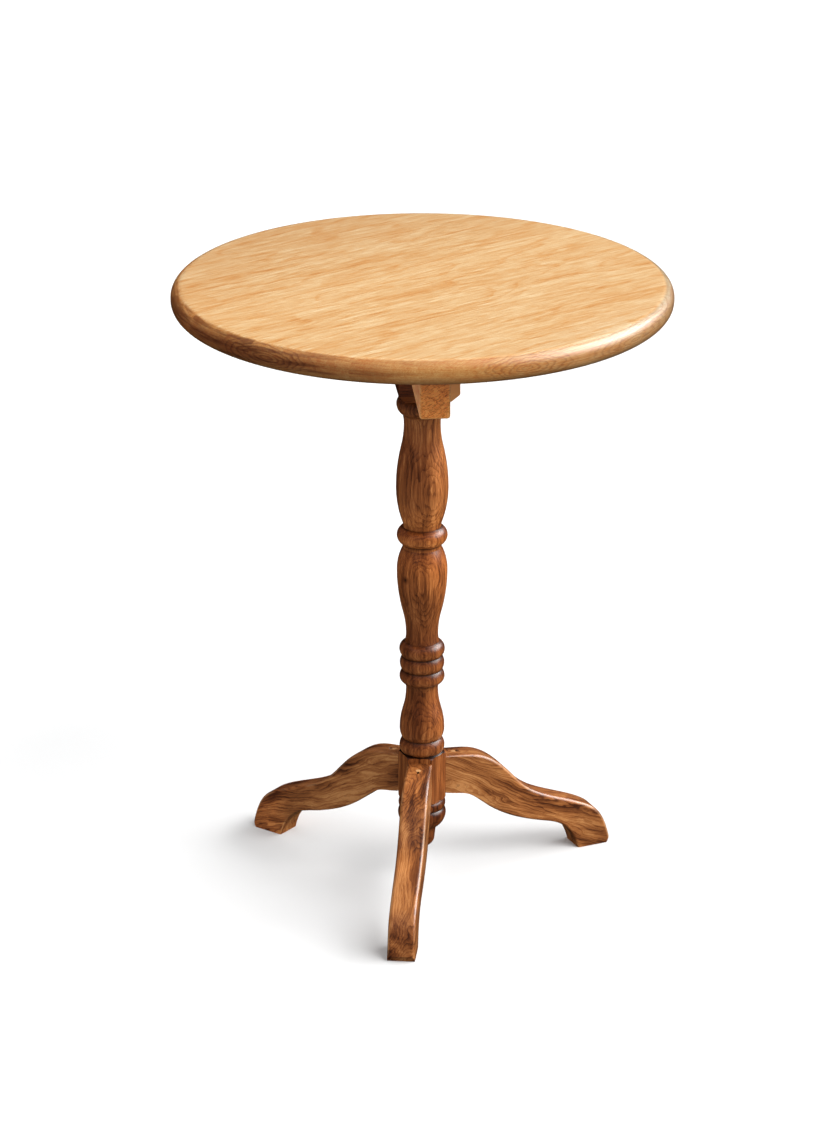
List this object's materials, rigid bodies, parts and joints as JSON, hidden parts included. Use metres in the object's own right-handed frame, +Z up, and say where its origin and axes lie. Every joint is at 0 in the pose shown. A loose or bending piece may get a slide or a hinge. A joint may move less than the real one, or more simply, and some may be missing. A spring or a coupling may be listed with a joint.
{
  "type": "pedestal side table",
  "caption": "Round-topped wooden side table on a turned central post with curved splayed legs.",
  "frame": {"origin": "on the floor, on the axis of the post and of the round top", "axes": "+Z up along the post; -Y towards the viewer of the picture, where the front leg points, a little to the left; +X to the viewer's right"},
  "size_m": [0.5, 0.5, 0.6458],
  "materials": {
    "pale_top_wood": "satin varnish over pale straight-grained wood",
    "bearer_wood": "oiled, saw-cut ends",
    "dark_wood": "satin varnish over dark figured wood",
    "steel": "plain steel wood screws and nails"
  },
  "bodies": {
    "root": {"top_board_1": "pale_top_wood", "top_board_2": "pale_top_wood", "top_board_3": "pale_top_wood", "top_board_4": "pale_top_wood", "top_board_5": "pale_top_wood", "bearer": "bearer_wood", "head_block": "dark_wood", "post": "dark_wood", "tenon_wedge": "bearer_wood", "drop_finial": "dark_wood", "leg_front": "dark_wood", "leg_right": "dark_wood", "leg_left": "dark_wood", "top_screws": "steel", "head_screws": "steel", "leg_nails": "steel"}
  },
  "joints": []
}
